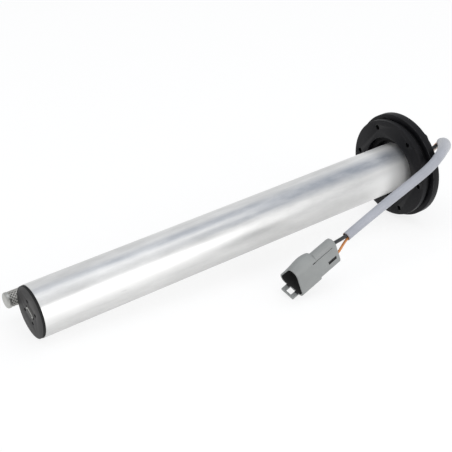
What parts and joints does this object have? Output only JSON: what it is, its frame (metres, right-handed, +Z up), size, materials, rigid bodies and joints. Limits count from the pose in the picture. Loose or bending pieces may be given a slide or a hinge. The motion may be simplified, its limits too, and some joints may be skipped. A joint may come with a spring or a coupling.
{
  "type": "tank level sender",
  "caption": "Tubular float level sender with a flange head, a suction pipe with a strainer alongside, and a sleeved lead to a three-pin connector.",
  "frame": {"origin": "centre of the footprint of the lying sender, without its lead, on the floor plane", "axes": "+X runs from the end cap to the flange head, +Y points to the side that carries the suction pipe, +Z is up; the sender lies on its flange rim and its tube end, so its own axis rises by 4.16 degrees towards the head"},
  "size_m": [0.3965, 0.1183, 0.0902],
  "materials": {
    "bright_aluminium": "drawn tube, satin with fine scuffs",
    "black_plastic": "moulded, fine grain",
    "black_coated_metal": "black anodised, worn lighter at the edges",
    "black_rubber": "matt sheet rubber",
    "white_plastic": "natural acetal",
    "float_foam": "closed-cell foam with a skin",
    "zinc_steel": "zinc plated",
    "stainless_steel": "drawn stainless, satin",
    "woven_steel": "woven wire cloth",
    "brass": "clean stamped brass",
    "board_laminate": "glass laminate",
    "lavender_sleeve": "soft vinyl tubing, slight sheen",
    "black_insulation": "wire insulation",
    "orange_insulation": "wire insulation",
    "white_insulation": "wire insulation",
    "grey_plastic": "moulded, smooth",
    "orange_seal": "soft silicone"
  },
  "bodies": {
    "sender": {"outer_tube": "bright_aluminium", "end_cap": "black_plastic", "wire_clip": "stainless_steel", "guide_rod": "stainless_steel", "resistance_wires": "stainless_steel", "lower_bumper": "black_rubber", "upper_stop": "white_plastic", "flange_plate": "black_coated_metal", "flange_gasket": "black_rubber", "clamp_ring": "black_coated_metal", "flange_screws": "black_coated_metal", "screw_washers": "black_coated_metal", "terminal_board": "board_laminate", "wire_anchors": "brass", "wire_grommet": "black_rubber", "suction_pipe": "bright_aluminium", "pipe_collar": "zinc_steel", "strainer_mesh": "woven_steel", "strainer_end_cap": "woven_steel", "strainer_ferrule": "stainless_steel", "cable_sleeve": "lavender_sleeve", "black_wire": "black_insulation", "white_wire": "white_insulation", "orange_wire": "orange_insulation", "connector_housing": "grey_plastic", "wire_seals": "orange_seal", "terminal_pins": "brass", "wedge_lock": "black_plastic"},
    "float_assembly": {"float": "float_foam", "float_carrier": "white_plastic", "float_retainer": "zinc_steel", "contact_spring": "brass"}
  },
  "joints": [
    {"name": "float_slide", "type": "slide", "parent": "sender", "child": "float_assembly", "axis": [0.9974, 0, 0.0725], "range_m": [0, 0.2643]}
  ]
}
